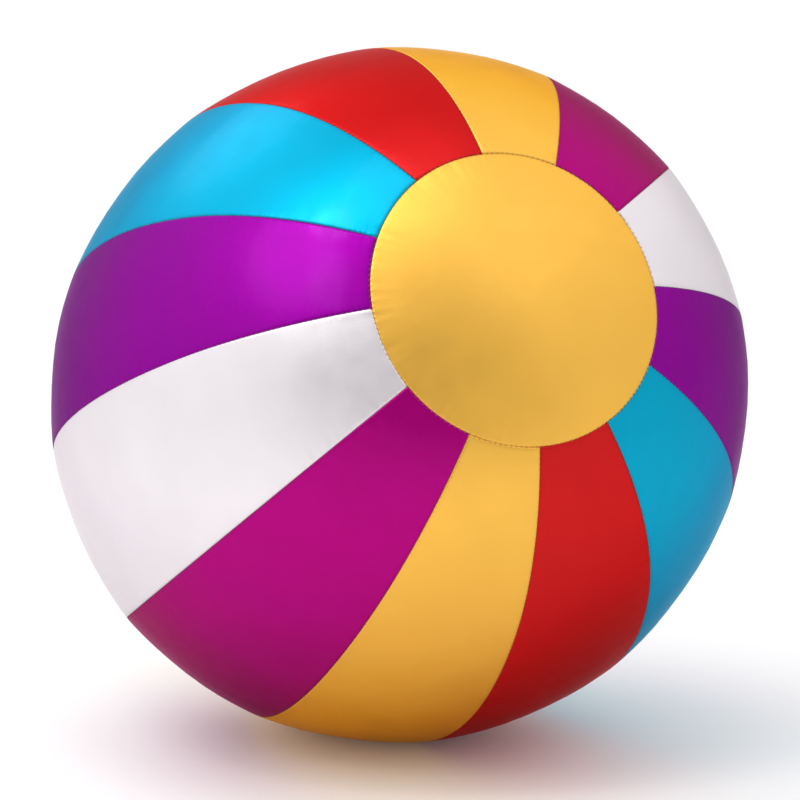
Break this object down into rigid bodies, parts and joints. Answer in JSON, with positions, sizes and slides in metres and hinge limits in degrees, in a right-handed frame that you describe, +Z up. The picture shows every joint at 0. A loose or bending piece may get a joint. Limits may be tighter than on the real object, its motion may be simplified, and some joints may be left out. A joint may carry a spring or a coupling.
{
  "type": "beach ball",
  "caption": "Large inflatable ball: sewn metallic fabric cover of coloured gores and end discs over an air bladder, with zip and valve.",
  "frame": {"origin": "on the floor under the middle of the ball, which stands on its flattened underside", "axes": "+Z up; the axis through the two discs lies in the YZ plane, 23 degrees above the floor, with the front disc towards -Y"},
  "size_m": [0.5842, 0.6159, 0.5885],
  "materials": {
    "fabric_gold": "metallic coated",
    "fabric_magenta": "metallic coated",
    "fabric_silver": "metallic coated",
    "fabric_violet": "metallic coated",
    "fabric_cyan": "metallic coated",
    "fabric_red": "metallic coated",
    "thread": "twisted polyester",
    "zip_tape": "woven",
    "zip_teeth": "satin",
    "zip_metal": "nickel plated",
    "bladder_film": "calendered vinyl film",
    "valve_vinyl": "moulded vinyl"
  },
  "bodies": {
    "cover": {"gore_01_gold": "fabric_gold", "gore_02_magenta": "fabric_magenta", "gore_03_silver": "fabric_silver", "gore_04_violet": "fabric_violet", "gore_05_cyan": "fabric_cyan", "gore_06_red": "fabric_red", "gore_07_gold": "fabric_gold", "gore_08_magenta": "fabric_magenta", "gore_09_silver": "fabric_silver", "gore_10_violet": "fabric_violet", "gore_11_cyan": "fabric_cyan", "gore_12_red": "fabric_red", "front_disc": "fabric_gold", "rear_disc": "fabric_gold", "valve_patch": "fabric_gold", "zip_guard": "fabric_silver", "gore_stitching": "thread", "front_disc_stitching": "thread", "rear_disc_stitching": "thread", "zip_stitching": "thread", "patch_stitching": "thread", "zip_tape_left": "zip_tape", "zip_tape_right": "zip_tape", "zip_teeth_left": "zip_teeth", "zip_teeth_right": "zip_teeth", "zip_top_stops": "zip_metal", "zip_bottom_stop": "zip_metal", "bladder": "bladder_film", "valve_flange": "valve_vinyl"},
    "zip_slider": {"zip_slider": "zip_metal"},
    "zip_puller": {"zip_puller": "zip_metal"},
    "valve_stem": {"valve_stem": "valve_vinyl", "stopper_strap": "valve_vinyl"},
    "check_flap": {"check_flap": "valve_vinyl"},
    "valve_stopper": {"valve_stopper": "valve_vinyl"}
  },
  "joints": [
    {"name": "zip_run", "type": "hinge", "parent": "cover", "child": "zip_slider", "pos_m": [-0.04939, -0.01331, 0.26041], "axis": [0.5678, -0.3216, -0.7577], "range_deg": [0, 35.8]},
    {"name": "puller_swing", "type": "hinge", "parent": "zip_slider", "child": "zip_puller", "pos_m": [0.21838, 0.1922, 0.37385], "axis": [0.5678, -0.3216, -0.7577], "range_deg": [0, 185]},
    {"name": "stem_pull", "type": "slide", "parent": "cover", "child": "valve_stem", "axis": [0, 0.9205, -0.3907], "range_m": [0, 0.01]},
    {"name": "flap_open", "type": "hinge", "parent": "valve_stem", "child": "check_flap", "pos_m": [0, 0.25894, 0.18826], "axis": [-1, 0, 0], "range_deg": [0, 70]},
    {"name": "stopper_pull", "type": "slide", "parent": "valve_stem", "child": "valve_stopper", "axis": [0, 0.9205, -0.3907], "range_m": [0, 0.012]}
  ]
}
